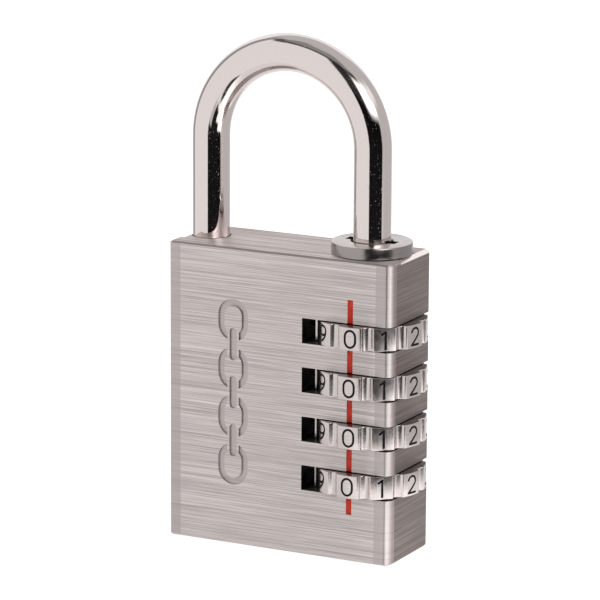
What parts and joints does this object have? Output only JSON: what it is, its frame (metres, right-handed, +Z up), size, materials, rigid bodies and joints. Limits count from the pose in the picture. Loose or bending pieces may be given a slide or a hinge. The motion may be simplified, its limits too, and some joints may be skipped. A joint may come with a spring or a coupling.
{
  "type": "combination padlock",
  "caption": "Rectangular combination padlock with numbered dials turning in side slots, an index line, and a round-bar shackle that lifts out of a collar.",
  "frame": {"origin": "middle of the body's bottom face", "axes": "+Z up along the shackle, +X towards the dials and the long leg, -Y out of the front face with the index line"},
  "size_m": [0.0412, 0.0176, 0.0813],
  "materials": {
    "body_aluminium": "brushed across the width, clear coated",
    "index_paint": "matt red fill in an engraved line",
    "bright_chrome": "mirror bright plating on steel",
    "dial_chrome": "satin plating with black-filled engraved digits",
    "hub_brass": "machined",
    "inner_steel": "machined, zinc plated",
    "spring_steel": "drawn wire and strip"
  },
  "bodies": {
    "lock_body": {"body_block": "body_aluminium", "index_line_1": "index_paint", "index_line_2": "index_paint", "index_line_3": "index_paint", "index_line_4": "index_paint", "index_line_5": "index_paint", "retaining_collar": "bright_chrome", "hub_stop_sleeve": "inner_steel", "hub_spring": "spring_steel", "detent_spring": "spring_steel", "detent_plug": "body_aluminium"},
    "shackle": {"shackle": "bright_chrome"},
    "dial_1": {"dial_1": "dial_chrome"},
    "dial_2": {"dial_2": "dial_chrome"},
    "dial_3": {"dial_3": "dial_chrome"},
    "dial_4": {"dial_4": "dial_chrome"},
    "hub_1": {"hub_1": "hub_brass"},
    "hub_2": {"hub_2": "hub_brass"},
    "hub_3": {"hub_3": "hub_brass"},
    "hub_4": {"hub_4": "hub_brass", "spring_washer": "inner_steel"}
  },
  "joints": [
    {"name": "shackle_lift", "type": "slide", "parent": "lock_body", "child": "shackle", "axis": [0, 0, 1], "range_m": [0, 0.00788]},
    {"name": "dial_1_turn", "type": "hinge", "parent": "lock_body", "child": "dial_1", "pos_m": [0.01275, 0, 0.03612], "axis": [0, 0, 1], "continuous": true},
    {"name": "dial_2_turn", "type": "hinge", "parent": "lock_body", "child": "dial_2", "pos_m": [0.01275, 0, 0.02824], "axis": [0, 0, 1], "continuous": true},
    {"name": "dial_3_turn", "type": "hinge", "parent": "lock_body", "child": "dial_3", "pos_m": [0.01275, 0, 0.02036], "axis": [0, 0, 1], "continuous": true},
    {"name": "dial_4_turn", "type": "hinge", "parent": "lock_body", "child": "dial_4", "pos_m": [0.01275, 0, 0.01248], "axis": [0, 0, 1], "continuous": true},
    {"name": "hub_1_shift", "type": "slide", "parent": "dial_1", "child": "hub_1", "axis": [0, 0, 1], "range_m": [-0.0012, 0], "stiffness_N_per_m": 250, "springref_m": 0.002},
    {"name": "hub_2_shift", "type": "slide", "parent": "dial_2", "child": "hub_2", "axis": [0, 0, 1], "range_m": [-0.0012, 0], "stiffness_N_per_m": 250, "springref_m": 0.002},
    {"name": "hub_3_shift", "type": "slide", "parent": "dial_3", "child": "hub_3", "axis": [0, 0, 1], "range_m": [-0.0012, 0], "stiffness_N_per_m": 250, "springref_m": 0.002},
    {"name": "hub_4_shift", "type": "slide", "parent": "dial_4", "child": "hub_4", "axis": [0, 0, 1], "range_m": [-0.0012, 0], "stiffness_N_per_m": 250, "springref_m": 0.002, "deforming": ["hub_spring"]}
  ],
  "couplings": [
    {"joint": "hub_1_shift", "follows": "hub_4_shift", "ratio": 1},
    {"joint": "hub_2_shift", "follows": "hub_4_shift", "ratio": 1},
    {"joint": "hub_3_shift", "follows": "hub_4_shift", "ratio": 1}
  ]
}
